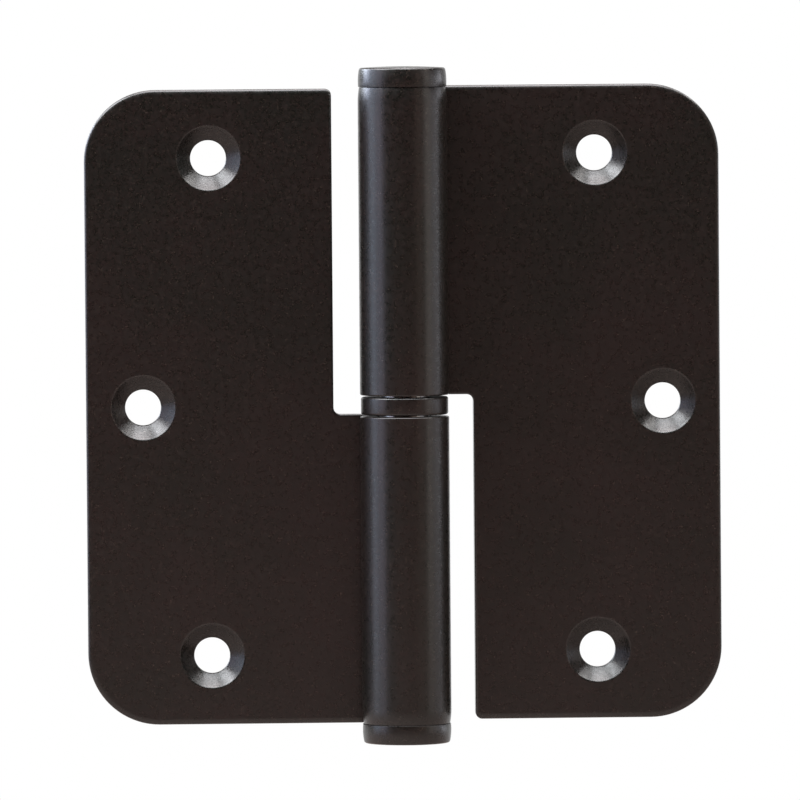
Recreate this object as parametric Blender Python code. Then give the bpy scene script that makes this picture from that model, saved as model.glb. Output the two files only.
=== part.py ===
# Lift-off butt hinge: two rolled steel leaves, a fixed pin, a thrust ring and two end caps.
# Metres, +Z up along the pin. The origin is on the pin's axis at mid height, and the leaves
# lie open and flat, with their backs towards +Y and their countersunk faces towards -Y.

import math

import bmesh
import bpy

MM = 0.001

# Leaf: one blank serves both sides, because the door leaf is the frame leaf turned upside down.
LEAF_HEIGHT = 89.0 * MM
LEAF_REACH = 44.5 * MM  # from the pin's axis to the leaf's outer edge
SHEET = 2.65 * MM  # 2.5 mm steel and the coat on both its faces
OUTER_CORNER = 10.0 * MM  # radius of the two large corners
FREE_CORNER = 0.9 * MM  # radius of the small corner at the notch's open end
NOTCH_FILLET = 1.0 * MM
NOTCH_CLEARANCE = 3.6 * MM  # from the barrel to the blade beside it
KNUCKLE_RELIEF = 2.35 * MM  # what both knuckles together lack of the leaf's height
EDGE_ROUNDING = 0.5 * MM  # the rolled-over edge that stamping and coating leave
SEAM_GAP = 0.2 * MM  # where the curl's end closes on the blade

# Screw holes
HOLE_DIAMETER = 5.1 * MM
COUNTERSINK_DIAMETER = 9.1 * MM
COUNTERSINK_ANGLE = math.radians(90)
END_HOLE_INSET = 9.6 * MM  # from the leaf's end edges
END_HOLE_SETBACK = 17.4 * MM  # from the leaf's outer edge
MIDDLE_HOLE_SETBACK = 8.0 * MM

# Pin
PIN_DIAMETER = 7.0 * MM
PIN_CLEARANCE = 0.08 * MM  # radial, in both knuckles
PIN_HEADROOM = 6.0 * MM  # from the pin's top to the top cap's spigot
PIN_FOOTROOM = 0.3 * MM  # from the pin's foot to the bottom cap's spigot
PIN_FOOT_CHAMFER = 0.4 * MM
PIN_TAPER_LENGTH = 3.0 * MM
PIN_TAPER_DEPTH = 0.5 * MM
PIN_TIP_ROUNDING = 0.8 * MM

# Thrust ring between the knuckles
RING_HEIGHT = 2.5 * MM
RING_PLAY = 0.1 * MM  # above and below the ring
RING_SETBACK = 0.12 * MM  # how far its rim lies inside the barrel's
RING_BORE_CLEARANCE = 0.1 * MM
RING_ROUNDING = 0.3 * MM

# End caps
CAP_HEIGHT = 2.7 * MM
CAP_SETBACK = 0.04 * MM
CAP_ROUNDING = 0.5 * MM
CAP_CHAMFER = 0.3 * MM
CAP_SEAT_GAP = 0.05 * MM
SPIGOT_LENGTH = 7.0 * MM
SPIGOT_CLEARANCE = 0.05 * MM
SPIGOT_CHAMFER = 0.5 * MM

# What follows from the sizes above
PIN_RADIUS = PIN_DIAMETER / 2
BORE_RADIUS = PIN_RADIUS + PIN_CLEARANCE
BARREL_RADIUS = BORE_RADIUS + SHEET
KNUCKLE_HEIGHT = (LEAF_HEIGHT - KNUCKLE_RELIEF) / 2
KNUCKLE_START = RING_HEIGHT / 2 + RING_PLAY  # height of a knuckle's inner end
KNUCKLE_END = KNUCKLE_START + KNUCKLE_HEIGHT

# Facets
CURL_STEPS = 60
CORNER_STEPS = 12
SMALL_CORNER_STEPS = 4
TURNED_STEPS = 60
HOLE_STEPS = 40
ROUNDING_STEPS = 2

SMOOTH_ANGLE = math.radians(30)
SEW = 1e-7  # merge distance for points that are meant to be one

BRONZE_COAT = {"colour": (0.022, 0.017, 0.015, 1.0), "roughness": 0.42, "metallic": 0.0}
GROUND_STEEL = {"colour": (0.5, 0.5, 0.52, 1.0), "roughness": 0.3, "metallic": 1.0}


def clear_scene():
    for obj in list(bpy.data.objects):
        bpy.data.objects.remove(obj)


def mesh_from(bm, name):
    """Turns a bmesh into mesh data with smooth round faces and crisp edges."""
    bmesh.ops.remove_doubles(bm, verts=bm.verts, dist=SEW)
    bmesh.ops.recalc_face_normals(bm, faces=bm.faces)
    mesh = bpy.data.meshes.new(name)
    bm.to_mesh(mesh)
    bm.free()
    mesh.shade_smooth()
    mesh.set_sharp_from_angle(angle=SMOOTH_ANGLE)
    return mesh


def place(name, mesh, parent=None):
    obj = bpy.data.objects.new(name, mesh)
    bpy.context.scene.collection.objects.link(obj)
    obj.parent = parent
    return obj


def finish(obj, look):
    """Gives a piece its own material. The object holds it, as both leaves share one mesh, and
    so do both caps."""
    material = bpy.data.materials.new(obj.name)
    material.use_nodes = True
    shader = material.node_tree.nodes["Principled BSDF"]
    shader.inputs["Base Color"].default_value = look["colour"]
    shader.inputs["Roughness"].default_value = look["roughness"]
    shader.inputs["Metallic"].default_value = look["metallic"]
    if not obj.data.materials:
        obj.data.materials.append(None)
    slot = obj.material_slots[0]
    slot.link = "OBJECT"
    slot.material = material


def arc(centre, radius, start, end, steps):
    """Points on an arc, both ends included, with angles in radians."""
    points = []
    for step in range(steps + 1):
        angle = start + (end - start) * step / steps
        points.append((centre[0] + radius * math.cos(angle), centre[1] + radius * math.sin(angle)))
    return points


def blade_outline():
    """The flat part of the frame leaf as (x, z) points, seen from the front and running
    anticlockwise from the knuckle's foot, up the line where the curl begins."""
    left, right = -LEAF_REACH, -(BARREL_RADIUS + NOTCH_CLEARANCE)
    bottom, top, notch = -KNUCKLE_END, LEAF_HEIGHT - KNUCKLE_END, -KNUCKLE_START
    quarter = math.pi / 2
    points = [(0.0, bottom), (0.0, notch)]
    fillet_centre = (right + NOTCH_FILLET, notch + NOTCH_FILLET)
    points += arc(fillet_centre, NOTCH_FILLET, -quarter, -2 * quarter, SMALL_CORNER_STEPS)
    free_centre = (right - FREE_CORNER, top - FREE_CORNER)
    points += arc(free_centre, FREE_CORNER, 0, quarter, SMALL_CORNER_STEPS)
    upper_centre = (left + OUTER_CORNER, top - OUTER_CORNER)
    points += arc(upper_centre, OUTER_CORNER, quarter, 2 * quarter, CORNER_STEPS)
    lower_centre = (left + OUTER_CORNER, bottom + OUTER_CORNER)
    points += arc(lower_centre, OUTER_CORNER, 2 * quarter, 3 * quarter, CORNER_STEPS)
    return points


def curl_sweep():
    """How far the sheet turns round the pin: three quarters of a turn, and on until the
    outer corner of its end lies a seam's gap off the blade's front face."""
    return 1.5 * math.pi + math.asin((BORE_RADIUS - SEAM_GAP) / BARREL_RADIUS)


def stamped_blank():
    """The leaf before rolling: a flat sheet between y = BORE_RADIUS and y = BARREL_RADIUS,
    with the knuckle's tab laid out flat past x = 0."""
    bm = bmesh.new()
    outline = [bm.verts.new((x, BORE_RADIUS, z)) for x, z in blade_outline()]
    faces = [bm.faces.new(outline)]
    low, high = outline[0], outline[1]
    tab_length = curl_sweep() * (BORE_RADIUS + SHEET / 2)
    for step in range(1, CURL_STEPS + 1):
        x = tab_length * step / CURL_STEPS
        next_low = bm.verts.new((x, BORE_RADIUS, low.co.z))
        next_high = bm.verts.new((x, BORE_RADIUS, high.co.z))
        faces.append(bm.faces.new((low, next_low, next_high, high)))
        low, high = next_low, next_high
    grown = bmesh.ops.extrude_face_region(bm, geom=faces)["geom"]
    lifted = [item for item in grown if isinstance(item, bmesh.types.BMVert)]
    bmesh.ops.translate(bm, verts=lifted, vec=(0, SHEET, 0))
    bmesh.ops.recalc_face_normals(bm, faces=bm.faces)
    return bm


def round_edges(bm):
    """Rounds the blank's rim on both faces."""
    bm.normal_update()
    rim = []
    for edge in bm.edges:
        flat = [face for face in edge.link_faces if abs(face.normal.y) > 0.5]
        if len(flat) == 1:
            rim.append(edge)
    bmesh.ops.bevel(
        bm, geom=rim, offset=EDGE_ROUNDING, segments=ROUNDING_STEPS, profile=0.5, affect="EDGES"
    )


def roll_tab(bm):
    """Curls the tab round the pin: length along it becomes an angle, depth a radius."""
    neutral_radius = BORE_RADIUS + SHEET / 2
    for vert in bm.verts:
        if vert.co.x > SEW:
            angle, radius = vert.co.x / neutral_radius, vert.co.y
            vert.co.x, vert.co.y = radius * math.sin(angle), radius * math.cos(angle)


def leaf_mesh():
    bm = stamped_blank()
    round_edges(bm)
    roll_tab(bm)
    return mesh_from(bm, "rolled_leaf")


def turned(name, profile, closed=False, steps=TURNED_STEPS):
    """Spins a profile of (radius, z) points round Z. A closed profile makes a ring, and an
    open one starts and ends on the axis."""
    bm = bmesh.new()
    verts = [bm.verts.new((radius, 0.0, z)) for radius, z in profile]
    pairs = list(zip(verts, verts[1:]))
    if closed:
        pairs.append((verts[-1], verts[0]))
    edges = [bm.edges.new(pair) for pair in pairs]
    bmesh.ops.spin(
        bm,
        geom=verts + edges,
        cent=(0, 0, 0),
        axis=(0, 0, 1),
        angle=2 * math.pi,
        steps=steps,
        use_merge=True,
    )
    return mesh_from(bm, name)


def countersink_cutter():
    """One screw hole's cutter, with its axis on Z and the countersink opening towards +Z at
    z = 0, which is the leaf's front face."""
    spare = SHEET  # how far the cutter reaches past both faces
    hole = HOLE_DIAMETER / 2
    slope = math.tan(COUNTERSINK_ANGLE / 2)
    depth = (COUNTERSINK_DIAMETER / 2 - hole) / slope
    mouth = COUNTERSINK_DIAMETER / 2 + spare * slope
    profile = [(0, -SHEET - spare), (hole, -SHEET - spare), (hole, -depth), (mouth, spare), (0, spare)]
    return turned("countersink", profile, steps=HOLE_STEPS)


def hole_places():
    """Hole centres on the frame leaf as (x, z)."""
    bottom, top = -KNUCKLE_END, LEAF_HEIGHT - KNUCKLE_END
    inner, outer = -LEAF_REACH + END_HOLE_SETBACK, -LEAF_REACH + MIDDLE_HOLE_SETBACK
    return [(inner, top - END_HOLE_INSET), (outer, (top + bottom) / 2), (inner, bottom + END_HOLE_INSET)]


def drill(leaf, cutter_mesh):
    """Cuts the leaf's three screw holes from its countersunk face."""
    for number, (x, z) in enumerate(hole_places(), 1):
        cutter = place(f"{leaf.name}_cutter_{number}", cutter_mesh, leaf)
        cutter.location = (x, BORE_RADIUS, z)
        cutter.rotation_euler = (math.pi / 2, 0, 0)
        cutter.hide_render = True
        cutter.display_type = "WIRE"
        cut = leaf.modifiers.new(f"hole_{number}", "BOOLEAN")
        cut.operation = "DIFFERENCE"
        cut.solver = "EXACT"
        cut.object = cutter


def pin_profile():
    """The pin from its foot, inside the frame knuckle, to its tapered tip."""
    foot = -KNUCKLE_END + SPIGOT_LENGTH + PIN_FOOTROOM
    tip = KNUCKLE_END - SPIGOT_LENGTH - PIN_HEADROOM
    tip_radius = PIN_RADIUS - PIN_TAPER_DEPTH
    rounding_centre = (tip_radius - PIN_TIP_ROUNDING, tip - PIN_TIP_ROUNDING)
    profile = [
        (0, foot),
        (PIN_RADIUS - PIN_FOOT_CHAMFER, foot),
        (PIN_RADIUS, foot + PIN_FOOT_CHAMFER),
        (PIN_RADIUS, tip - PIN_TIP_ROUNDING - PIN_TAPER_LENGTH),
    ]
    profile += arc(rounding_centre, PIN_TIP_ROUNDING, 0, math.pi / 2, SMALL_CORNER_STEPS)
    return profile + [(0, tip)]


def ring_profile():
    """The thrust ring's section, with all four edges rounded."""
    inner, outer = PIN_RADIUS + RING_BORE_CLEARANCE, BARREL_RADIUS - RING_SETBACK
    half = RING_HEIGHT / 2
    corners = [
        (outer - RING_ROUNDING, -half + RING_ROUNDING, -math.pi / 2),
        (outer - RING_ROUNDING, half - RING_ROUNDING, 0),
        (inner + RING_ROUNDING, half - RING_ROUNDING, math.pi / 2),
        (inner + RING_ROUNDING, -half + RING_ROUNDING, math.pi),
    ]
    profile = []
    for radius, z, start in corners:
        profile += arc((radius, z), RING_ROUNDING, start, start + math.pi / 2, ROUNDING_STEPS)
    return profile


def cap_profile():
    """The top cap from its spigot's foot to its crown: the spigot fills the knuckle's bore,
    and the head sits on the knuckle's end."""
    seat = KNUCKLE_END + CAP_SEAT_GAP
    crown = seat + CAP_HEIGHT
    head = BARREL_RADIUS - CAP_SETBACK
    spigot = BORE_RADIUS - SPIGOT_CLEARANCE
    foot = KNUCKLE_END - SPIGOT_LENGTH
    profile = [
        (0, foot),
        (spigot - SPIGOT_CHAMFER, foot),
        (spigot, foot + SPIGOT_CHAMFER),
        (spigot, seat),
        (head - CAP_CHAMFER, seat),
        (head, seat + CAP_CHAMFER),
    ]
    rounding_centre = (head - CAP_ROUNDING, crown - CAP_ROUNDING)
    profile += arc(rounding_centre, CAP_ROUNDING, 0, math.pi / 2, SMALL_CORNER_STEPS)
    return profile + [(0, crown)]


def build():
    clear_scene()
    leaf = leaf_mesh()
    cutter = countersink_cutter()
    cap = turned("cap", cap_profile())

    frame_leaf = place("frame_leaf", leaf)
    drill(frame_leaf, cutter)
    hinge_pin = place("hinge_pin", turned("pin", pin_profile()), frame_leaf)
    bottom_cap = place("bottom_cap", cap, frame_leaf)
    bottom_cap.rotation_euler = (0, math.pi, 0)

    thrust_ring = place("thrust_ring", turned("ring", ring_profile(), closed=True))

    # The door side turns about the pin's axis, which is this empty's Z.
    door_side = place("door_side", None, thrust_ring)
    door_leaf = place("door_leaf", leaf, door_side)
    door_leaf.rotation_euler = (0, math.pi, 0)
    drill(door_leaf, cutter)
    top_cap = place("top_cap", cap, door_side)

    for coated in (frame_leaf, bottom_cap, thrust_ring, door_leaf, top_cap):
        finish(coated, BRONZE_COAT)
    finish(hinge_pin, GROUND_STEEL)


build()
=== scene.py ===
import math

import bmesh
import bpy
from mathutils import Matrix, Vector


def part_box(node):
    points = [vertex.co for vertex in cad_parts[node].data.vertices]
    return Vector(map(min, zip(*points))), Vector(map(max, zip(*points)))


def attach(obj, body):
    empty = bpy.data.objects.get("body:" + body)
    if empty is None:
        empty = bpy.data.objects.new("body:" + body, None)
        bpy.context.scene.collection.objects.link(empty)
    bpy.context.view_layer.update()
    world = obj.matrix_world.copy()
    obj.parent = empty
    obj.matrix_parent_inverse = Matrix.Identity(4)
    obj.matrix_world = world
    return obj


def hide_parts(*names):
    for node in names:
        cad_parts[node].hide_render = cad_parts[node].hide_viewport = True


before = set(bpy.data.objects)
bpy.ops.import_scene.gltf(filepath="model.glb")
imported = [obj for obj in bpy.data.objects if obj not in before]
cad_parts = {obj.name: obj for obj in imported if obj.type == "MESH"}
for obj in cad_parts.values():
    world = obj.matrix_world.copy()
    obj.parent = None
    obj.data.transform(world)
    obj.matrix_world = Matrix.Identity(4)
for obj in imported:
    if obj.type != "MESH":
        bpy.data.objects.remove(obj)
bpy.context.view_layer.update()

mm = 0.001
quarterTurn = math.pi / 2
hair = 0.001 * mm  # two places closer than this are taken for the same
sharpAngle = math.radians(40)  # edges sharper than this aren't shaded smooth
white = (1.0, 1.0, 1.0, 1.0)
print("frame loaded:", ", ".join(sorted(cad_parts)))


# Node trees

class Signal:
    # One socket's value. Sums and products of signals add Math nodes to their tree.
    def __init__(self, graph, socket):
        self.graph = graph
        self.socket = socket

    def maths(self, operation, *values):
        return self.graph.node("ShaderNodeMath", {"operation": operation}, dict(enumerate(values)))[0]

    def __add__(self, other):
        return self.maths("ADD", self, other)

    def __radd__(self, other):
        return self.maths("ADD", other, self)

    def __sub__(self, other):
        return self.maths("SUBTRACT", self, other)

    def __rsub__(self, other):
        return self.maths("SUBTRACT", other, self)

    def __mul__(self, other):
        return self.maths("MULTIPLY", self, other)

    def __rmul__(self, other):
        return self.maths("MULTIPLY", other, self)

    def __truediv__(self, other):
        return self.maths("DIVIDE", self, other)

    def __rtruediv__(self, other):
        return self.maths("DIVIDE", other, self)

    def __pow__(self, other):
        return self.maths("POWER", self, other)

    def __rpow__(self, other):
        return self.maths("POWER", other, self)

    def sine(self):
        return self.maths("SINE", self)

    def cosine(self):
        return self.maths("COSINE", self)

    def floor(self):
        return self.maths("FLOOR", self)

    def above(self, limit):
        return self.maths("GREATER_THAN", self, limit)

    def atLeast(self, limit):
        return self.maths("MAXIMUM", self, limit)

    def between(self, low, high, fromValue=0.0, toValue=1.0):
        # eases from one value to the other while the signal goes from low to high
        eased = {"interpolation_type": "SMOOTHSTEP"}
        sockets = {"Value": self, "From Min": low, "From Max": high, "To Min": fromValue, "To Max": toValue}
        return self.graph.node("ShaderNodeMapRange", eased, sockets)["Result"]


class Placed:
    # A node in a tree, whose outputs are read by name or number.
    def __init__(self, graph, made):
        self.graph = graph
        self.made = made

    def __getitem__(self, name):
        return Signal(self.graph, self.made.outputs[name])


class Graph:
    # A node tree, emptied and then filled node by node.
    def __init__(self, tree):
        self.tree = tree
        tree.nodes.clear()

    def node(self, kind, settings=None, sockets=None):
        made = self.tree.nodes.new(kind)
        for name, value in (settings or {}).items():
            setattr(made, name, value)
        for name, value in (sockets or {}).items():
            if isinstance(value, Signal):
                self.tree.links.new(value.socket, made.inputs[name])
            else:
                made.inputs[name].default_value = value
        return Placed(self, made)

    def mixColour(self, factor, first, second):
        # the Mix node keeps its colours in sockets 6 and 7, and their mix in output 2
        return self.node("ShaderNodeMix", {"data_type": "RGBA"}, {0: factor, 6: first, 7: second})[2]

    def noise(self, place, perMetre, detail, roughness):
        sockets = {"Vector": place, "Scale": perMetre, "Detail": detail, "Roughness": roughness}
        return self.node("ShaderNodeTexNoise", None, sockets)["Fac"]


# Geometry Nodes: one tree rolls a leaf, the other turns caps, ring and pin

def shapeTree(name, inputs):
    # an empty shape tree with its named inputs, and its geometry in and out
    tree = bpy.data.node_groups.new(name, "GeometryNodeTree")
    tree.interface.new_socket(name="Geometry", in_out="OUTPUT", socket_type="NodeSocketGeometry")
    tree.interface.new_socket(name="Geometry", in_out="INPUT", socket_type="NodeSocketGeometry")
    for label, kind in inputs.items():
        tree.interface.new_socket(name=label, in_out="INPUT", socket_type=kind)
    graph = Graph(tree)
    return tree, graph, graph.node("NodeGroupInput")


def closeTree(graph, given, geometry):
    # every shape tree ends smooth, real and in its finish
    smooth = graph.node("GeometryNodeSetShadeSmooth", None, {"Geometry": geometry})["Geometry"]
    real = graph.node("GeometryNodeRealizeInstances", None, {"Geometry": smooth})["Geometry"]
    sockets = {"Geometry": real, "Material": given["Finish"]}
    painted = graph.node("GeometryNodeSetMaterial", None, sockets)["Geometry"]
    graph.node("NodeGroupOutput", None, {"Geometry": painted})


def rollingTree():
    # Length along the tab becomes an angle round the pin, and depth becomes a radius.
    inputs = {
        "Neutral Radius": "NodeSocketFloat",
        "Outer End": "NodeSocketFloat",
        "Taper Length": "NodeSocketFloat",
        "Taper Depth": "NodeSocketFloat",
        "Taper Start": "NodeSocketFloat",
        "Turned Over": "NodeSocketFloat",
        "Finish": "NodeSocketMaterial",
    }
    tree, graph, given = shapeTree("rollKnuckle", inputs)
    place = graph.node("GeometryNodeInputPosition")["Position"]
    parts = graph.node("ShaderNodeSeparateXYZ", None, {"Vector": place})
    angle = parts["X"] / given["Neutral Radius"]
    fromEnd = (parts["Z"] - given["Outer End"]) / given["Taper Length"]
    nearEnd = (1.0 - fromEnd).atLeast(0.0)
    taper = nearEnd * nearEnd * angle.between(0.0, given["Taper Start"])
    outside = parts["Y"].above(given["Neutral Radius"])
    radius = parts["Y"] - taper * outside * given["Taper Depth"]
    rolled = graph.node("ShaderNodeCombineXYZ", None, {
        "X": radius * angle.sine(),
        "Y": radius * angle.cosine(),
        "Z": parts["Z"],
    })["Vector"]
    onTab = parts["X"].above(0.0)
    shaped = graph.node("GeometryNodeSetPosition", None, {
        "Geometry": given["Geometry"], "Selection": onTab, "Position": rolled,
    })["Geometry"]
    halfTurn = graph.node("ShaderNodeCombineXYZ", None, {"Y": given["Turned Over"] * math.pi})["Vector"]
    turned = graph.node("GeometryNodeTransform", None, {
        "Geometry": shaped, "Rotation": halfTurn,
    })["Geometry"]
    closeTree(graph, given, turned)
    return tree


def latheTree():
    # A grid whose rows are the profile's points, each swept round the pin's axis.
    inputs = {
        "Profile Points": "NodeSocketInt",
        "Facets": "NodeSocketInt",
        "Weld": "NodeSocketFloat",
        "Finish": "NodeSocketMaterial",
    }
    tree, graph, given = shapeTree("turnProfile", inputs)
    perRow = given["Facets"] + 1
    grid = graph.node("GeometryNodeMeshGrid", None, {
        "Size X": 1.0, "Size Y": 1.0, "Vertices X": given["Profile Points"], "Vertices Y": perRow,
    })["Mesh"]
    index = graph.node("GeometryNodeInputIndex")["Index"]
    row = ((index + 0.5) / perRow).floor()  # the half keeps it clear of rounding
    column = index - row * perRow
    profile = graph.node("GeometryNodeSampleIndex", {"data_type": "FLOAT_VECTOR", "domain": "POINT"}, {
        "Geometry": given["Geometry"],
        "Value": graph.node("GeometryNodeInputPosition")["Position"],
        "Index": row,
    })["Value"]
    parts = graph.node("ShaderNodeSeparateXYZ", None, {"Vector": profile})
    angle = column / given["Facets"] * (2 * math.pi)
    swept = graph.node("ShaderNodeCombineXYZ", None, {
        "X": parts["X"] * angle.cosine(),
        "Y": parts["X"] * angle.sine(),
        "Z": parts["Z"],
    })["Vector"]
    body = graph.node("GeometryNodeSetPosition", None, {"Geometry": grid, "Position": swept})["Geometry"]
    sewn = graph.node("GeometryNodeMergeByDistance", None, {
        "Geometry": body, "Distance": given["Weld"],
    })["Geometry"]
    closeTree(graph, given, sewn)
    return tree


def shapedPiece(name, body, draftMesh, tree, values):
    # Runs a tree on a draft mesh and keeps the result as a plain mesh that rides on its body.
    draft = bpy.data.objects.new(name + "Draft", draftMesh)
    bpy.context.scene.collection.objects.link(draft)
    modifier = draft.modifiers.new("shape", "NODES")
    modifier.node_group = tree
    for item in tree.interface.items_tree:
        if item.in_out == "INPUT" and item.name in values:
            modifier[item.identifier] = values[item.name]
    evaluated = draft.evaluated_get(bpy.context.evaluated_depsgraph_get())
    mesh = bpy.data.meshes.new_from_object(evaluated)
    draft.modifiers.remove(modifier)
    bpy.data.objects.remove(draft)
    outwards = bmesh.new()
    outwards.from_mesh(mesh)
    bmesh.ops.recalc_face_normals(outwards, faces=outwards.faces)
    outwards.to_mesh(mesh)
    outwards.free()
    mesh.set_sharp_from_angle(angle=sharpAngle)
    piece = bpy.data.objects.new(name, mesh)
    bpy.context.scene.collection.objects.link(piece)
    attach(piece, body)
    print(f"{name}: {len(mesh.polygons)} faces")
    return piece


# Finishes

coatLook = {
    "deep": (0.0036, 0.0038, 0.0027, 1.0),
    "warm": (0.0081, 0.0049, 0.0041, 1.0),
    "flake": (0.120, 0.092, 0.074, 1.0),  # bronze flakes in the powder
    "edge": (0.026, 0.020, 0.018, 1.0),  # where the coat drew thin
    "clouds": (60.0, 4.0, 0.6),  # each noise has its number per metre, its detail and its roughness
    "cloudRange": (0.3, 0.7),
    "mottle": 1.6,  # how far the grain breaks up the clouds
    "peel": (1150.0, 2.0, 0.5),
    "peelDepth": 0.0085 * mm,
    "grain": (3000.0, 3.0, 0.7),
    "grainDepth": 0.0032 * mm,
    "strokes": (2600.0, 2.0, 0.5),  # traces of the rollers, along the pin
    "strokeStretch": (1.0, 1.0, 0.08),
    "strokeDepth": 0.003 * mm,
    "flakePerMetre": 5200.0,
    "flakeChoice": (0.80, 0.97),  # only the brightest of the cells are flakes
    "flakeReach": (0.45, 0.15),  # from its cell's edge to its middle
    "flakeShare": 0.5,
    "thinRange": (0.35, 0.75),  # the thin edges show in spots of the grain
    "thinShare": 0.45,
    "roughness": 0.30,
    "roughnessSpread": 0.20,
    "flakePolish": 0.12,
    "sinkPolish": 0.02,  # the countersinks are a little glossier
    "sinkGrain": (4400.0, 2.0, 0.6),  # and their coat is coarser
    "sinkGrainDepth": 0.012 * mm,
    "markPitch": 0.22 * mm,  # turning marks under the coat
    "markDepth": 0.004 * mm,
    "sinkMarkDepth": 0.002 * mm,  # the punched countersinks hardly show any
    "leastMarkRadius": 0.1 * mm,  # nothing with a smaller radius is tooled
    "ior": 1.55,
}


def bronzeCoat(name, turned=False):
    # Powder coat: clouded bronze black with fine flakes, an orange-peel surface and thin edges.
    material = bpy.data.materials.new(name)
    material.use_nodes = True
    graph = Graph(material.node_tree)
    place = graph.node("ShaderNodeTexCoord")["Object"]
    clouds = graph.noise(place, *coatLook["clouds"])
    peel = graph.noise(place, *coatLook["peel"])
    grain = graph.noise(place, *coatLook["grain"])
    mottled = clouds + (grain - 0.5) * coatLook["mottle"]
    tint = graph.mixColour(mottled.between(*coatLook["cloudRange"]), coatLook["deep"], coatLook["warm"])

    cells = graph.node("ShaderNodeTexVoronoi", {"feature": "F1"}, {
        "Vector": place, "Scale": coatLook["flakePerMetre"],
    })
    bright = graph.node("ShaderNodeSeparateXYZ", None, {"Vector": cells["Color"]})["X"]
    flakes = bright.between(*coatLook["flakeChoice"]) * cells["Distance"].between(*coatLook["flakeReach"])
    tint = graph.mixColour(flakes * coatLook["flakeShare"], tint, coatLook["flake"])

    wear = graph.node("ShaderNodeAttribute", {"attribute_name": "thinCoat"})["Fac"]
    thin = wear * grain.between(*coatLook["thinRange"])
    tint = graph.mixColour(thin * coatLook["thinShare"], tint, coatLook["edge"])

    spread = coatLook["roughnessSpread"]
    roughness = coatLook["roughness"] + (grain - 0.5) * spread + (peel - 0.5) * spread
    roughness = roughness - flakes * coatLook["flakePolish"]

    stretch = {"Vector": place, "Scale": coatLook["strokeStretch"]}
    strokes = graph.noise(graph.node("ShaderNodeMapping", None, stretch)["Vector"], *coatLook["strokes"])
    height = peel * coatLook["peelDepth"] + grain * coatLook["grainDepth"]
    height = height + strokes * coatLook["strokeDepth"]
    if turned:
        parts = graph.node("ShaderNodeSeparateXYZ", None, {"Vector": place})
        radius = (parts["X"] * parts["X"] + parts["Y"] * parts["Y"]) ** 0.5
    else:
        radius = graph.node("ShaderNodeAttribute", {"attribute_name": "holeRadius"})["Fac"]
    tooled = radius.above(coatLook["leastMarkRadius"])
    marks = (radius * (2 * math.pi / coatLook["markPitch"])).sine()
    height = height + marks * tooled * coatLook["markDepth" if turned else "sinkMarkDepth"]
    if not turned:
        speckle = graph.noise(place, *coatLook["sinkGrain"])
        height = height + speckle * tooled * coatLook["sinkGrainDepth"]
        roughness = roughness - tooled * coatLook["sinkPolish"]

    relief = graph.node("ShaderNodeBump", None, {
        "Strength": 1.0, "Distance": 1.0, "Height": height,
    })["Normal"]
    shader = graph.node("ShaderNodeBsdfPrincipled", None, {
        "Base Color": tint, "Roughness": roughness, "Normal": relief, "IOR": coatLook["ior"],
    })["BSDF"]
    graph.node("ShaderNodeOutputMaterial", None, {"Surface": shader})
    return material


steelLook = {
    "bare": (0.46, 0.46, 0.47, 1.0),
    "ground": (0.30, 0.30, 0.31, 1.0),  # in the grinding lines
    "grease": (0.20, 0.17, 0.12, 1.0),
    "grinding": (9000.0, 3.0, 0.6),
    "grindStretch": (0.06, 0.06, 1.0),  # the lines run round the pin
    "grindRange": (0.3, 0.7),
    "grindShare": 0.35,
    "grindDepth": 0.0015 * mm,
    "film": (180.0, 3.0, 0.5),
    "filmRange": (0.3, 0.7),
    "filmShare": 0.45,
    "roughness": 0.28,
    "greaseRoughness": 0.20,
}


def groundSteel(name):
    # Pin steel: grinding lines round the pin under an uneven film of grease.
    material = bpy.data.materials.new(name)
    material.use_nodes = True
    graph = Graph(material.node_tree)
    place = graph.node("ShaderNodeTexCoord")["Object"]
    stretch = {"Vector": place, "Scale": steelLook["grindStretch"]}
    grinding = graph.noise(graph.node("ShaderNodeMapping", None, stretch)["Vector"], *steelLook["grinding"])
    film = graph.noise(place, *steelLook["film"]).between(*steelLook["filmRange"])
    tint = graph.mixColour(film * steelLook["filmShare"], steelLook["bare"], steelLook["grease"])
    lines = grinding.between(*steelLook["grindRange"])
    tint = graph.mixColour(lines * steelLook["grindShare"], tint, steelLook["ground"])
    roughness = film.between(0.0, 1.0, steelLook["roughness"], steelLook["greaseRoughness"])
    relief = graph.node("ShaderNodeBump", None, {
        "Strength": 1.0, "Distance": 1.0, "Height": grinding * steelLook["grindDepth"],
    })["Normal"]
    shader = graph.node("ShaderNodeBsdfPrincipled", None, {
        "Base Color": tint, "Roughness": roughness, "Normal": relief, "Metallic": 1.0,
    })["BSDF"]
    graph.node("ShaderNodeOutputMaterial", None, {"Surface": shader})
    return material


# Sizes shared by the pieces, worked out from the frame

leafLow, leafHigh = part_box("frame_leaf")
pinLow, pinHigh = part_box("hinge_pin")
barrelRadius = leafHigh.y
sheet = 2.65 * mm  # with the coat on both faces
boreRadius = barrelRadius - sheet  # also the depth of the leaf's front face
neutralRadius = boreRadius + sheet / 2


# Leaves

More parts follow.
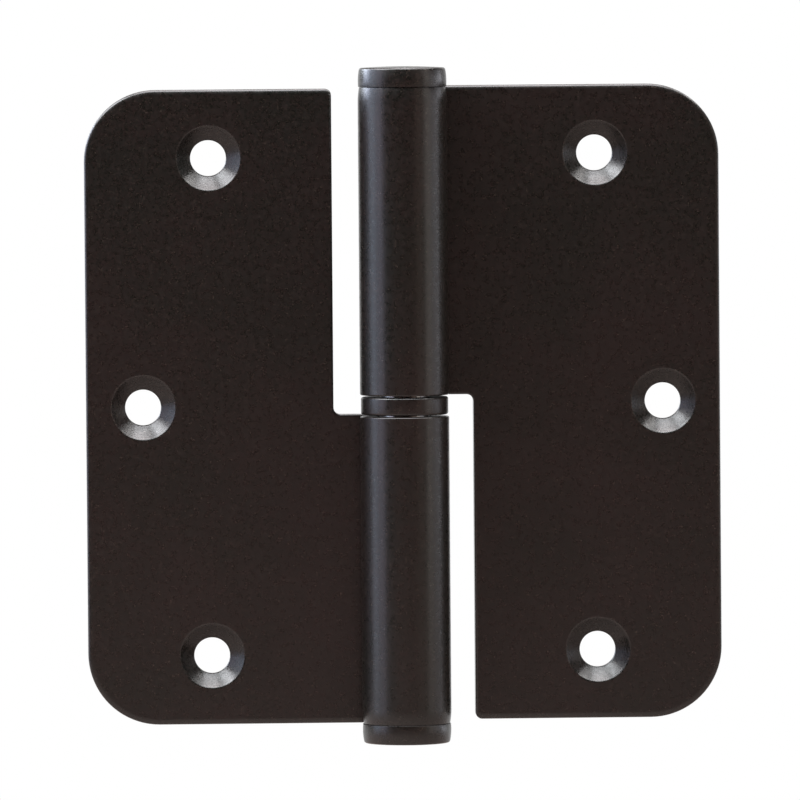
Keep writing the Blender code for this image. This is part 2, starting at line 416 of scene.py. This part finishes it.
leafShape = {
    "outerCorner": 10.0 * mm,
    "freeCorner": 0.9 * mm,
    "tabCorner": 0.9 * mm,
    "notchFillet": 1.0 * mm,
    "notchGap": 3.6 * mm,  # from the barrel to the blade beside it
    "notchHeight": -1.35 * mm,  # where the frame leaf's knuckle ends
    "seamGap": 0.2 * mm,
    "rollOverWidth": 0.80 * mm,  # the stamped edge draws down gently this far in from the rim
    "rollOverDepth": 0.060 * mm,
    "frontRounding": 0.36 * mm,
    "backRounding": 0.27 * mm,
    "knuckleEndShare": 0.12,  # how much of that rounding the knuckle's outer end has
    "notchShare": 0.40,  # and how much the sheared notch has
    "ringEndShare": 0.70,  # and the knuckle beside the ring
    "ringRelief": 0.14 * mm,  # the knuckle is dressed back this far beside the ring
    "capRelief": 0.17 * mm,  # and this far under its cap
    "endTaperLength": 2.0 * mm,  # rolling draws the barrel in slightly at its outer end
    "endTaperDepth": 0.19 * mm,
    "endTaperStart": 0.6,  # radians of the curl over which that sets in
    "endTaperSteps": 7,
    "supportWidth": 0.06 * mm,  # a narrow flat strip beside each rounding keeps the faces flat
    "curlSteps": 96,
    "gentleSteps": 5,
    "cornerSteps": 20,
    "smallCornerSteps": 8,
    "edgeSteps": 7,
}

holeShape = {
    "radius": 2.51 * mm,
    "sinkRadius": 4.55 * mm,
    "wallSlope": 39.0,  # degrees from the face, on average
    "wallDish": 4.0,  # the punched wall is this much steeper at its mouth and flatter at its throat
    "wallSteps": 10,
    "mouthRounding": 0.35 * mm,
    "throatRounding": 0.28 * mm,
    "throatWear": 0.6,  # how thin the coat is there, from 0 to 1
    "backRounding": 0.30 * mm,
    "backWear": 0.3,
    "endInset": 9.6 * mm,
    "endSetback": 17.4 * mm,
    "middleSetback": 8.0 * mm,
    "facets": 96,
}


def arcPoints(centre, radius, start, end, steps):
    points = []
    for step in range(steps + 1):
        angle = start + (end - start) * step / steps
        points.append((centre[0] + radius * math.cos(angle), centre[1] + radius * math.sin(angle)))
    return points


def tabLength():
    # three quarters of a turn, and on until the tab's outer corner nears the blade's front face
    sweep = 1.5 * math.pi + math.asin((boreRadius - leafShape["seamGap"]) / barrelRadius)
    return sweep * neutralRadius


def blankOutline(inset):
    # The flat blank's rim as (x, z), moved inwards by inset, anticlockwise from the tab's foot.
    left, right = leafLow.x, -(barrelRadius + leafShape["notchGap"])
    bottom, top, notch = leafLow.z, leafHigh.z, leafShape["notchHeight"]
    tabEnd = tabLength()
    tabCorner, freeCorner = leafShape["tabCorner"], leafShape["freeCorner"]
    fillet, outer = leafShape["notchFillet"], leafShape["outerCorner"]
    small, large = leafShape["smallCornerSteps"], leafShape["cornerSteps"]
    rounds = [
        ((tabEnd - tabCorner, bottom + tabCorner), tabCorner - inset, -1, 0, small),
        ((tabEnd - tabCorner, notch - tabCorner), tabCorner - inset, 0, 1, small),
        ((right + fillet, notch + fillet), fillet + inset, -1, -2, small),
        ((right - freeCorner, top - freeCorner), freeCorner - inset, 0, 1, small),
        ((left + outer, top - outer), outer - inset, 1, 2, large),
        ((left + outer, bottom + outer), outer - inset, 2, 3, large),
    ]
    points = []
    for place, (centre, radius, start, end, steps) in enumerate(rounds):
        points += arcPoints(centre, radius, start * quarterTurn, end * quarterTurn, steps)
        if place == 1:
            points += [(0.0, notch - inset), (-barrelRadius, notch - inset)]
    return points + [(-barrelRadius, bottom + inset), (0.0, bottom + inset)]


def easedEdge(place):
    # at a point of the outline: the share of the rim's rounding there, and how far it is dressed back
    x, z = place
    notch, corner = leafShape["notchHeight"], leafShape["tabCorner"]
    onTab = x > -barrelRadius / 2
    if onTab and z < leafLow.z + corner:
        nearCap = 1.0 - (z - leafLow.z) / corner
        return leafShape["knuckleEndShare"], -leafShape["capRelief"] * nearCap
    if onTab:
        nearRing = max(1.0 - (notch - z) / corner, 0.0)
        return 1.0 + (leafShape["ringEndShare"] - 1.0) * nearRing, leafShape["ringRelief"] * nearRing
    inNotch = x > -barrelRadius - leafShape["notchGap"] - hair and z > notch - hair
    return leafShape["notchShare"] if inNotch else 1.0, 0.0


def rimSection():
    # The sheet's edge as (inset, depth, wear) from the front face round to the back face.
    width, drop, front = leafShape["rollOverWidth"], leafShape["rollOverDepth"], leafShape["frontRounding"]
    back, support = leafShape["backRounding"], leafShape["supportWidth"]
    section = [(width + support, 0.0, 0.0)]
    gentleWidth = width - front
    for step in range(leafShape["gentleSteps"]):
        share = step / leafShape["gentleSteps"]
        section.append((width - gentleWidth * share, drop * share * share, 0.0))
    lean = math.atan(2 * drop / gentleWidth)  # the slope at which the gentle part meets the rounding
    spread = math.cos(lean)
    for step in range(leafShape["edgeSteps"] + 1):
        angle = lean + (quarterTurn - lean) * step / leafShape["edgeSteps"]
        inset = front * (1 - math.sin(angle)) / (1 - math.sin(lean))
        depth = drop + front * (math.cos(lean) - math.cos(angle)) / spread
        section.append((inset, depth, math.sin(angle)))
    for step in range(leafShape["edgeSteps"] + 1):
        angle = quarterTurn * step / leafShape["edgeSteps"]
        inset, depth = back * (1 - math.cos(angle)), sheet - back * (1 - math.sin(angle))
        section.append((inset, depth, math.cos(angle)))
    return section + [(back + support, sheet, 0.0)]


def holeSection():
    # A countersunk hole's wall as (radius, depth, wear) from the front face to the back face.
    sink, bore, steps = holeShape["sinkRadius"], holeShape["radius"], leafShape["edgeSteps"]
    mouth, throat, back = holeShape["mouthRounding"], holeShape["throatRounding"], holeShape["backRounding"]
    slope, dish = math.radians(holeShape["wallSlope"]), math.radians(holeShape["wallDish"])
    lip, foot = slope + dish, slope - dish  # the wall's slope at its mouth and at its throat
    start = sink + mouth * math.sin(lip) / 2
    section = [(start + leafShape["supportWidth"], 0.0, 0.0)]
    for step in range(steps + 1):
        angle = lip * step / steps
        wear = math.sin(math.pi * step / steps)
        section.append((start - mouth * math.sin(angle), mouth * (1 - math.cos(angle)), wear))
    radius, depth = section[-1][0], section[-1][1]
    run = (radius - bore - throat * (1 - math.sin(foot))) / holeShape["wallSteps"]
    for step in range(holeShape["wallSteps"]):
        angle = lip + (foot - lip) * (step + 0.5) / holeShape["wallSteps"]
        radius, depth = radius - run, depth + run * math.tan(angle)
        section.append((radius, depth, 0.0))
    for step in range(1, steps + 1):
        angle = foot + (quarterTurn - foot) * step / steps
        fall = throat * (math.cos(foot) - math.cos(angle))
        wear = holeShape["throatWear"] * (1 - step / steps)
        section.append((bore + throat * (1 - math.sin(angle)), depth + fall, wear))
    for step in range(steps + 1):
        angle = quarterTurn * step / steps
        radius, depth = bore + back * (1 - math.cos(angle)), sheet - back * (1 - math.sin(angle))
        section.append((radius, depth, holeShape["backWear"]))
    return section + [(bore + back + leafShape["supportWidth"], sheet, 0.0)]


def holePlaces():
    # the holes' centres as (x, z), from the top down
    bottom, top, left = leafLow.z, leafHigh.z, leafLow.x
    inner, outer = left + holeShape["endSetback"], left + holeShape["middleSetback"]
    inset = holeShape["endInset"]
    return [(inner, top - inset), (outer, (top + bottom) / 2), (inner, bottom + inset)]


def skinLoops(bm, loops):
    # joins each closed loop of points to the next with quads
    for first, second in zip(loops, loops[1:]):
        count = len(first)
        for here in range(count):
            after = (here + 1) % count
            bm.faces.new((first[here], first[after], second[after], second[here]))


def loopEdges(bm, loop):
    return [bm.edges.get((loop[i - 1], loop[i])) for i in range(len(loop))]


def flatBlank():
    # The leaf before rolling: rim and hole walls as skinned loops, and both faces filled between them.
    bm = bmesh.new()
    wearLayer = bm.verts.layers.float.new("thinCoat")
    holeLayer = bm.verts.layers.float.new("holeRadius")
    rim = []
    for inset, depth, wear in rimSection():
        loop = []
        for edge, wanted in zip(blankOutline(0.0), blankOutline(inset)):
            share, relief = easedEdge(edge)
            x = edge[0] + (wanted[0] - edge[0]) * share
            z = edge[1] + (wanted[1] - edge[1]) * share - relief
            lift = depth * share if depth < sheet / 2 else sheet - (sheet - depth) * share
            vert = bm.verts.new((x, boreRadius + lift, z))
            vert[wearLayer] = wear
            loop.append(vert)
        rim.append(loop)
    skinLoops(bm, rim)
    frontEdges, backEdges = loopEdges(bm, rim[0]), loopEdges(bm, rim[-1])
    for x, z in holePlaces():
        wall = []
        for radius, depth, wear in holeSection():
            ring = arcPoints((x, z), radius, 0.0, 2 * math.pi, holeShape["facets"])[:-1]
            loop = [bm.verts.new((px, boreRadius + depth, pz)) for px, pz in ring]
            for vert in loop:
                vert[wearLayer] = wear
                vert[holeLayer] = radius if 0.0 < depth < sheet else 0.0
            wall.append(loop)
        skinLoops(bm, wall)
        frontEdges += loopEdges(bm, wall[0])
        backEdges += loopEdges(bm, wall[-1])
    for edges in (frontEdges, backEdges):
        bmesh.ops.triangle_fill(bm, edges=edges, use_beauty=True)
    curlSteps, taperSteps = leafShape["curlSteps"], leafShape["endTaperSteps"]
    end, taper = leafLow.z + leafShape["capRelief"], leafShape["endTaperLength"]
    cuts = [(tabLength() * step / curlSteps, (1, 0, 0)) for step in range(curlSteps)]
    cuts += [(end + taper * step / taperSteps, (0, 0, 1)) for step in range(1, taperSteps + 1)]
    for distance, normal in cuts:
        geometry = list(bm.verts) + list(bm.edges) + list(bm.faces)
        place = Vector(normal) * distance
        bmesh.ops.bisect_plane(bm, geom=geometry, dist=hair / 10, plane_co=place, plane_no=normal)
    mesh = bpy.data.meshes.new("flatBlank")
    bm.to_mesh(mesh)
    bm.free()
    return mesh


def makeLeaves(coat):
    tree = rollingTree()
    blank = flatBlank()
    values = {
        "Neutral Radius": neutralRadius,
        "Outer End": leafLow.z + leafShape["capRelief"],
        "Taper Length": leafShape["endTaperLength"],
        "Taper Depth": leafShape["endTaperDepth"],
        "Taper Start": leafShape["endTaperStart"],
        "Turned Over": 0.0,
        "Finish": coat,
    }
    frameLeaf = shapedPiece("frameLeaf", "frame_side", blank, tree, values)
    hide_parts("frame_leaf")
    values["Turned Over"] = 1.0
    doorLeaf = shapedPiece("doorLeaf", "door_side", blank, tree, values)
    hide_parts("door_leaf")


# Turned pieces

turnedShape = {
    "facets": 160,
    "capRounding": 0.36 * mm,
    "capChamfer": 0.02 * mm,
    "capDome": 0.12 * mm,  # how much the crown falls towards its rim
    "capNeck": 0.035 * mm,  # how far the head draws in at its seat
    "capNeckShare": 0.35,  # over this share of its wall
    "capFall": 0.15 * mm,  # and how far it draws in again towards its rim
    "capSeatGap": 0.05 * mm,
    "ringRounding": 0.34 * mm,
    "ringBoreClearance": 0.10 * mm,
    "spigotClearance": 0.05 * mm,
    "spigotChamfer": 0.50 * mm,
    "pinTaper": 3.0 * mm,
    "pinTaperDepth": 0.5 * mm,
    "pinTipRounding": 0.8 * mm,
    "pinFootChamfer": 0.4 * mm,
    "weld": 0.0005 * mm,
    "roundSteps": 8,
}


def profileMesh(name, points):
    mesh = bpy.data.meshes.new(name)
    links = [(i, i + 1) for i in range(len(points) - 1)]
    mesh.from_pydata([(radius, 0.0, z) for radius, z in points], links, [])
    return mesh


def capProfile(low, high):
    # low is the spigot's foot and high the crown's rim, for the cap that points up
    steps, rounding = turnedShape["roundSteps"], turnedShape["capRounding"]
    seat = -leafLow.z - leafShape["capRelief"] + turnedShape["capSeatGap"]
    head, chamfer, dome = high.x, turnedShape["capChamfer"], turnedShape["capDome"]
    spigot, bevel = boreRadius - turnedShape["spigotClearance"], turnedShape["spigotChamfer"]
    crown = high.z
    profile = [(0.0, low.z), (spigot - bevel, low.z), (spigot, low.z + bevel)]
    neck, share, fall = turnedShape["capNeck"], turnedShape["capNeckShare"], turnedShape["capFall"]
    profile += [(spigot, seat), (head - neck - chamfer, seat)]
    wallLow, wallHigh = seat + chamfer, crown - dome - rounding
    for step in range(2 * steps + 1):
        along = step / (2 * steps)
        toSeat, toRim = max(1 - along / share, 0.0), max((along - share) / (1 - share), 0.0)
        drawn = neck * toSeat ** 2 + fall * toRim ** 2
        profile.append((head - drawn, wallLow + (wallHigh - wallLow) * along))
    lean = math.atan(2 * fall / (1 - share) / (wallHigh - wallLow))
    centre = (head - fall - rounding * math.cos(lean), wallHigh - rounding * math.sin(lean))
    profile += arcPoints(centre, rounding, lean, quarterTurn, steps)[1:]
    crownRadius, crownFall = centre[0], crown - centre[1] - rounding
    for step in range(1, steps + 1):
        radius = crownRadius * (1 - step / steps)
        profile.append((radius, crown - crownFall * (radius / crownRadius) ** 2))
    return profile


def makeTurned(coat, steel):
    tree = latheTree()
    steps = turnedShape["roundSteps"]
    values = {"Facets": turnedShape["facets"], "Weld": turnedShape["weld"]}

    def turn(name, body, node, profile, finish):
        values["Profile Points"] = len(profile)
        values["Finish"] = finish
        piece = shapedPiece(name, body, profileMesh(name, profile), tree, values)
        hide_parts(node)

    topLow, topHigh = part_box("top_cap")
    upright = capProfile(topLow, topHigh)
    turn("topCap", "door_side", "top_cap", upright, coat)
    turn("bottomCap", "frame_side", "bottom_cap", [(r, -z) for r, z in upright], coat)

    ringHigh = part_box("thrust_ring")[1]
    outer, half = ringHigh.x, ringHigh.z
    inner, rounding = pinHigh.x + turnedShape["ringBoreClearance"], turnedShape["ringRounding"]
    section = []
    for radius, z, start in (
        (outer - rounding, -half + rounding, -1),
        (outer - rounding, half - rounding, 0),
        (inner + rounding, half - rounding, 1),
        (inner + rounding, -half + rounding, 2),
    ):
        section += arcPoints((radius, z), rounding, start * quarterTurn, (start + 1) * quarterTurn, steps)
    turn("thrustRing", "thrust_ring", "thrust_ring", section + section[:1], coat)

    radius, foot, tip = pinHigh.x, pinLow.z, pinHigh.z
    tipRounding = turnedShape["pinTipRounding"]
    tipRadius = radius - turnedShape["pinTaperDepth"]
    chamfer = turnedShape["pinFootChamfer"]
    profile = [(0.0, foot), (radius - chamfer, foot), (radius, foot + chamfer)]
    profile += [(radius, tip - tipRounding - turnedShape["pinTaper"])]
    profile += arcPoints((tipRadius - tipRounding, tip - tipRounding), tipRounding, 0.0, quarterTurn, steps)
    turn("hingePin", "frame_side", "hinge_pin", profile + [(0.0, tip)], steel)


# Studio

studio = {
    "azimuth": -2.24,  # degrees, as the photograph was taken
    "elevation": 2.3,
    "roll": -0.447,
    "distance": 1.4,
    "lens": 450.4,
    "aim": (-0.64 * mm, 0.0, 0.76 * mm),
    "floorDepth": 0.10,  # below the pin's middle
    "floorSize": 9.0,
    "floorColour": (0.27, 0.22, 0.195, 1.0),
    "floorSeen": (0.27, 0.27, 0.27, 1.0),  # its colour to the camera, which shows the shadow
    "floorNearWhite": 0.55,  # the share of plain white in it close to the object
    "shadowReach": (0.15, 0.50),  # from the middle, where that share grows to all of it
    "glossReach": (0.0, 0.4),  # behind the object, where its gloss shows the floor turning white
    "backdrop": (0.10, 0.60, 0.0, 0.4),  # the pale wall that its gloss shows: where it starts and ends,
    "backdropMiddle": (0.70, 0.95, 0.0, 0.6),  # with its strengths there, and what its middle adds
}

softboxes = {  # place, size, watts and colour
    "overheadLeft": ((-0.37, -0.02, 0.43), (0.46, 0.31), 3.95, (0.97, 0.95, 1.0)),
    "overhead": ((0.0, 0.0, 0.45), (0.30, 0.23), 2.5, (1.0, 0.94, 0.95)),
    "overheadRight": ((0.32, 0.0, 0.45), (0.35, 0.20), 1.85, (1.0, 0.98, 0.97)),
    "frontLeft": ((-0.30, -0.20, 0.42), (0.35, 0.24), 1.9, (0.92, 0.98, 1.0)),
    "front": ((0.03, -0.20, 0.42), (0.34, 0.24), 2.1, (0.95, 0.97, 1.0)),
    "leftRear": ((-0.70, 0.25, 0.20), (0.30, 0.42), 2.8, (0.70, 0.78, 1.0)),
    "leftHigh": ((-0.56, 0.39, 0.28), (0.34, 0.26), 3.6, (0.80, 0.88, 1.0)),
    "lowFront": ((0.0, -0.80, -0.08), (1.0, 0.03), 0.12, (1.0, 0.45, 0.42)),
    "leftSide": ((-0.75, -0.05, 0.15), (0.25, 0.50), 1.1, (0.70, 0.80, 1.0)),
    "leftFore": ((-0.70, -0.32, 0.12), (0.25, 0.50), 0.8, (0.81, 0.79, 1.0)),
    "rightRear": ((0.70, 0.25, 0.03), (0.30, 0.24), 0.75, (0.90, 0.91, 1.0)),
    "rightSide": ((0.75, -0.05, 0.05), (0.25, 0.28), 0.27, (0.96, 0.94, 1.0)),
    "rightFore": ((0.70, -0.32, 0.10), (0.25, 0.50), 0.55, (1.0, 0.91, 0.85)),
    "rightNear": ((0.50, -0.60, 0.10), (0.25, 0.50), 0.18, (1.0, 0.70, 0.60)),
}


def makeCamera():
    azimuth, elevation = math.radians(studio["azimuth"]), math.radians(studio["elevation"])
    back = Vector((
        math.sin(azimuth) * math.cos(elevation),
        -math.cos(azimuth) * math.cos(elevation),
        math.sin(elevation),
    ))
    data = bpy.data.cameras.new("camera")
    data.lens = studio["lens"]
    camera = bpy.data.objects.new("camera", data)
    bpy.context.scene.collection.objects.link(camera)
    facing = (-back).to_track_quat("-Z", "Y").to_matrix().to_4x4()
    roll = Matrix.Rotation(math.radians(studio["roll"]), 4, "Z")
    place = Vector(studio["aim"]) + back * studio["distance"]
    camera.matrix_world = Matrix.Translation(place) @ facing @ roll
    bpy.context.scene.camera = camera


def makeSoftbox(name, place, size, watts, colour):
    # a lamp that faces the object, out of the camera's sight
    data = bpy.data.lights.new(name, "AREA")
    data.shape = "RECTANGLE"
    data.size, data.size_y = size
    data.energy = watts
    data.color = colour
    lamp = bpy.data.objects.new(name, data)
    bpy.context.scene.collection.objects.link(lamp)
    lamp.visible_camera = False
    facing = (-Vector(place)).to_track_quat("-Z", "Y").to_matrix().to_4x4()
    lamp.matrix_world = Matrix.Translation(place) @ facing


def makeFloor():
    # A pale cloth that keeps the object's shadow and goes over to plain white around it.
    half = studio["floorSize"] / 2
    mesh = bpy.data.meshes.new("floor")
    corners = [(-half, -half), (half, -half), (half, half), (-half, half)]
    mesh.from_pydata([(x, y, -studio["floorDepth"]) for x, y in corners], [], [(0, 1, 2, 3)])
    floor = bpy.data.objects.new("floor", mesh)
    bpy.context.scene.collection.objects.link(floor)
    material = bpy.data.materials.new("paleFloor")
    material.use_nodes = True
    graph = Graph(material.node_tree)
    rays = graph.node("ShaderNodeLightPath")
    place = graph.node("ShaderNodeTexCoord")["Object"]
    away = graph.node("ShaderNodeVectorMath", {"operation": "LENGTH"}, {0: place})["Value"]
    around = away.between(*studio["shadowReach"], studio["floorNearWhite"], 1.0)
    parts = graph.node("ShaderNodeSeparateXYZ", None, {"Vector": place})
    behind = parts["Y"].between(*studio["glossReach"])
    share = rays["Is Camera Ray"] * around + rays["Is Glossy Ray"] * behind
    dye = graph.mixColour(rays["Is Camera Ray"], studio["floorColour"], studio["floorSeen"])
    cloth = graph.node("ShaderNodeBsdfDiffuse", None, {"Color": dye})["BSDF"]
    glow = graph.node("ShaderNodeEmission", None, {"Color": white, "Strength": 1.0})["Emission"]
    shader = graph.node("ShaderNodeMixShader", None, {0: share, 1: cloth, 2: glow})["Shader"]
    graph.node("ShaderNodeOutputMaterial", None, {"Surface": shader})
    mesh.materials.append(material)


def makeWorld():
    # White behind the object for the camera, and a pale backdrop against a dim room for its gloss.
    world = bpy.data.worlds.new("studio")
    bpy.context.scene.world = world
    world.use_nodes = True
    graph = Graph(world.node_tree)
    direction = graph.node("ShaderNodeTexCoord")["Generated"]
    ahead = graph.node("ShaderNodeSeparateXYZ", None, {"Vector": direction})["Y"]
    backdrop = ahead.between(*studio["backdrop"]) + ahead.between(*studio["backdropMiddle"])
    room = graph.node("ShaderNodeBackground", None, {"Color": white, "Strength": backdrop})["Background"]
    plain = graph.node("ShaderNodeBackground", None, {"Color": white, "Strength": 1.0})["Background"]
    seen = graph.node("ShaderNodeLightPath")["Is Camera Ray"]
    mixed = graph.node("ShaderNodeMixShader", None, {0: seen, 1: room, 2: plain})["Shader"]
    graph.node("ShaderNodeOutputWorld", None, {"Surface": mixed})


# Build

coat = bronzeCoat("bronzeCoat")
turnedCoat = bronzeCoat("turnedBronzeCoat", turned=True)
steel = groundSteel("groundSteel")
makeLeaves(coat)
makeTurned(turnedCoat, steel)
print("pieces built")

makeCamera()
makeFloor()
makeWorld()
for name, settings in softboxes.items():
    makeSoftbox(name, *settings)
bpy.context.scene.view_settings.view_transform = "Standard"
print("studio set")
